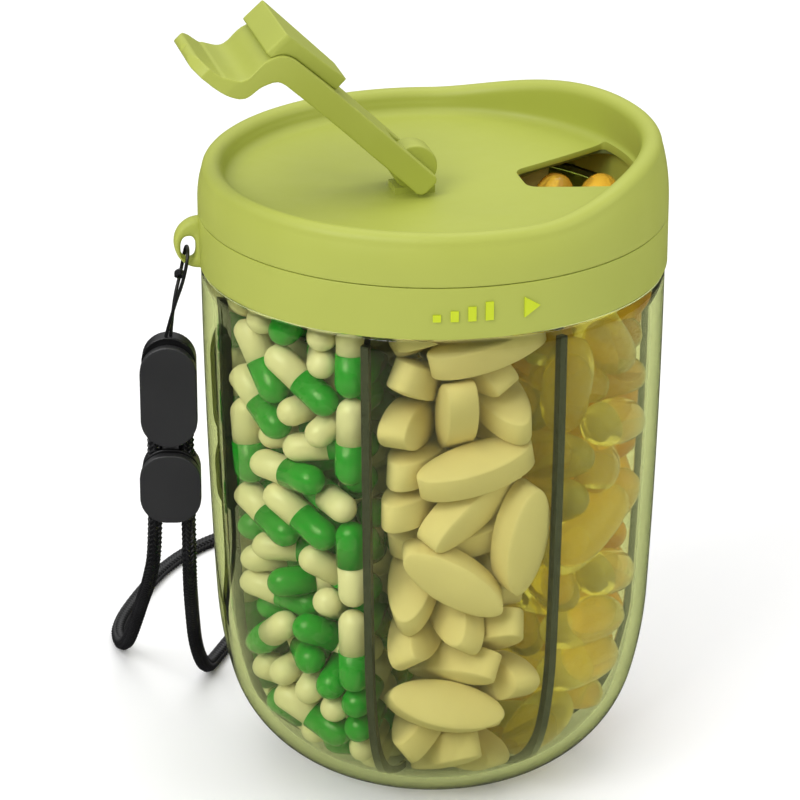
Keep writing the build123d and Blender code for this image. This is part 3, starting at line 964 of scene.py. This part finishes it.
def poured(kinds):
    """Drops each kind of pill into a compartment and gives the places where they come to rest."""
    draw = random.Random(POUR_SEED)
    scene = bpy.context.scene
    still, falling = [], []
    for row, (parts, count, length, width) in enumerate(kinds):
        shift = row * CHUTE_GAP
        still += chute(shift)
        mesh = hull_mesh("poured_pill", [p for rings in parts for ring in rings for p in ring])
        height = POUR_LOW_Z
        for _ in range(count):
            pill = add_object("poured_pill", mesh)
            tilt = math.acos(draw.uniform(0.0, 1.0))
            around = draw.uniform(0, 2 * math.pi)
            extent = length * math.sin(tilt) + width * math.cos(tilt)
            height += extent / 2 + 0.3
            spot = (POUR_X + draw.uniform(-2, 2), shift + draw.uniform(-1, 1), height)
            pill.location = Vector(spot) * SIM_UNIT
            height += extent / 2
            pill.rotation_mode = "QUATERNION"
            pill.rotation_quaternion = (Quaternion((0, 0, 1), around) @ Quaternion((0, 1, 0), tilt)
                                        @ Quaternion((1, 0, 0), draw.uniform(0, math.pi)))
            falling.append((row, pill))
    bpy.ops.rigidbody.world_add()
    world = scene.rigidbody_world
    world.substeps_per_frame = 20
    world.solver_iterations = 12
    world.point_cache.frame_end = POUR_FRAMES
    scene.gravity = (0, 0, SIM_GRAVITY)
    pills = [pill for _, pill in falling]
    for kind, group in (("PASSIVE", still), ("ACTIVE", pills)):
        bpy.ops.object.select_all(action="DESELECT")
        for obj in group:
            obj.select_set(True)
        bpy.context.view_layer.objects.active = group[0]
        bpy.ops.rigidbody.objects_add(type=kind)
        for obj in group:
            body = obj.rigid_body
            body.collision_shape = "CONVEX_HULL"
            body.use_margin = True
            body.collision_margin = 0.012
            body.friction = 0.2
            body.restitution = 0.0
            if kind == "ACTIVE":
                body.mass = 1.0
                body.linear_damping = 0.75
                body.angular_damping = 0.5
                body.use_deactivation = False
    for step in range(1, POUR_FRAMES + 1):
        scene.frame_set(step)
    graph = bpy.context.evaluated_depsgraph_get()
    places = [[] for _ in kinds]
    for row, pill in falling:
        place = pill.evaluated_get(graph).matrix_world.copy()
        place.translation = place.translation / SIM_UNIT - Vector((0, row * CHUTE_GAP, 0))
        places[row].append(place)
    bpy.ops.rigidbody.world_remove()
    for obj in still + pills:
        bpy.data.objects.remove(obj)
    scene.frame_set(1)
    return places


def settled(places, parts):
    """The places whose pill is whole inside the compartment."""
    kept = []
    for place in places:
        highest = lowest = place.translation.z
        for ring in (r for rings in parts for r in rings):
            heights = [(place @ Vector(p)).z for p in ring[::3]]
            highest = max(highest, *heights)
            lowest = min(lowest, *heights)
        spot = place.translation
        inside = math.hypot(spot.x, spot.y) < NECK[1] and abs(math.atan2(spot.y, spot.x)) < HALF_STEP
        if highest < POUR_TOP_Z and lowest > 0 and inside:
            kept.append(place)
    return kept


def fill(number, name, rings, places, material):
    """One mesh of all the pills, or all the halves, in a compartment."""
    middle = math.radians(FIRST_VANE + COMPARTMENT_STEP * (number - 0.5))
    turned = Matrix.Rotation(middle, 4, "Z")
    one = [Vector(p) for ring in rings for p in ring]
    faces = ring_faces(rings)
    verts, all_faces = [], []
    for place in places:
        first = len(verts)
        whole = turned @ place
        verts += [(whole @ v) * MM for v in one]
        all_faces += [tuple(first + i for i in face) for face in faces]
    obj = mesh_object(f"contents_{number}_{name}", verts, all_faces)
    fix_normals(obj)
    finish_piece(obj, "cup", None, material)
    return obj


def axis_points(place):
    """Points along a softgel's long axis."""
    return [place @ Vector((GEL_REACH * t, 0, 0)) for t in (-1, -0.5, 0, 0.5, 1)]


def with_top_gels(places):
    """Adds the softgels under the opening, and leaves out those in their way."""
    turn_back = Matrix.Rotation(-math.radians(FIRST_VANE + COMPARTMENT_STEP / 2), 4, "Z")
    tops = []
    for x, y, z, heading, tilt in TOP_GELS:
        lie = Matrix.Rotation(math.radians(heading), 4, "Z") @ Matrix.Rotation(math.radians(tilt), 4, "Y")
        tops.append(turn_back @ Matrix.Translation((x, y, z)) @ lie)
    kept = []
    for place in places:
        near = min((a - b).length for top in tops for a in axis_points(top) for b in axis_points(place))
        if near > GEL_ROOM:
            kept.append(place)
    return kept + tops


def contents():
    """Pours coarse pills of each kind, and fills the seven compartments with fine ones."""
    kinds = [(tablet(12), *TABLETS), (softgel(10), *SOFTGELS), (capsule(10), *CAPSULES)]
    tablet_places, softgel_places, capsule_places = [
        settled(places, kind[0]) for places, kind in zip(poured(kinds), kinds)]
    tablets, softgels, capsules = tablet(36), softgel(28), capsule(20)
    for number in (2, 6):
        fill(number, "tablets", tablets[0], tablet_places, TABLET)
    for number, places, material in (
            (1, with_top_gels(softgel_places), SOFTGEL_AMBER), (3, softgel_places, SOFTGEL),
            (7, softgel_places, SOFTGEL)):
        gels = fill(number, "softgels", softgels[0], places, material)
        gels.visible_shadow = False
    for number in (4, 5):
        fill(number, "capsule_bodies", capsules[0], capsule_places, CAPSULE_CREAM)
        fill(number, "capsule_caps", capsules[1], capsule_places, CAPSULE_GREEN)


contents()


# -------------------------------------------------------------- floor, light
STAGE_HALF = 6                     # metres
SKY_LOW = (0.05, 0.05, 0.05, 1.0)  # under the horizon, for the clear plastic's dark edges
SKY_HIGH = (1.0, 1.0, 1.0, 1.0)
SKY_STRENGTH = 0.85
AIM = (0, 0, 0.07)                 # the lights point here


def stage():
    """A white floor, and a sky that is dark below and white above."""
    corners = [(x * STAGE_HALF, y * STAGE_HALF, 0) for x, y in ((-1, -1), (1, -1), (1, 1), (-1, 1))]
    floor = mesh_object("floor", corners, [(0, 1, 2, 3)], smooth=False)
    floor.data.materials.append(new_material("floor_white", (1.0, 1.0, 1.0, 1.0), 0.9))
    floor.visible_glossy = False
    world = bpy.data.worlds.new("studio")
    bpy.context.scene.world = world
    world.use_nodes = True
    nodes, links = world.node_tree.nodes, world.node_tree.links
    place, split = nodes.new("ShaderNodeTexCoord"), nodes.new("ShaderNodeSeparateXYZ")
    ramp = nodes.new("ShaderNodeValToRGB")
    links.new(place.outputs["Generated"], split.inputs["Vector"])
    links.new(split.outputs["Z"], ramp.inputs["Fac"])
    ramp.color_ramp.elements[0].color = SKY_LOW
    ramp.color_ramp.elements[1].color = SKY_HIGH
    ramp.color_ramp.elements[1].position = 0.6
    links.new(ramp.outputs["Color"], nodes["Background"].inputs["Color"])
    nodes["Background"].inputs["Strength"].default_value = SKY_STRENGTH


def area_light(name, place, size, power):
    """A rectangular light; its place and size are in metres and its power in watts."""
    light = bpy.data.lights.new(name, "AREA")
    light.shape = "RECTANGLE"
    light.size, light.size_y = size
    light.energy = power
    obj = add_object(name, light)
    obj.location = place
    obj.rotation_mode = "QUATERNION"
    obj.rotation_quaternion = (Vector(AIM) - Vector(place)).to_track_quat("-Z", "Y")


stage()
area_light("key", (-0.8, -0.6, 0.95), (0.7, 0.7), 8.6)
area_light("fill", (0.9, -0.5, 0.6), (0.6, 0.9), 2.4)
area_light("top", (0.1, 0.35, 1.2), (0.9, 0.6), 3.3)
bpy.context.scene.view_settings.view_transform = "Standard"
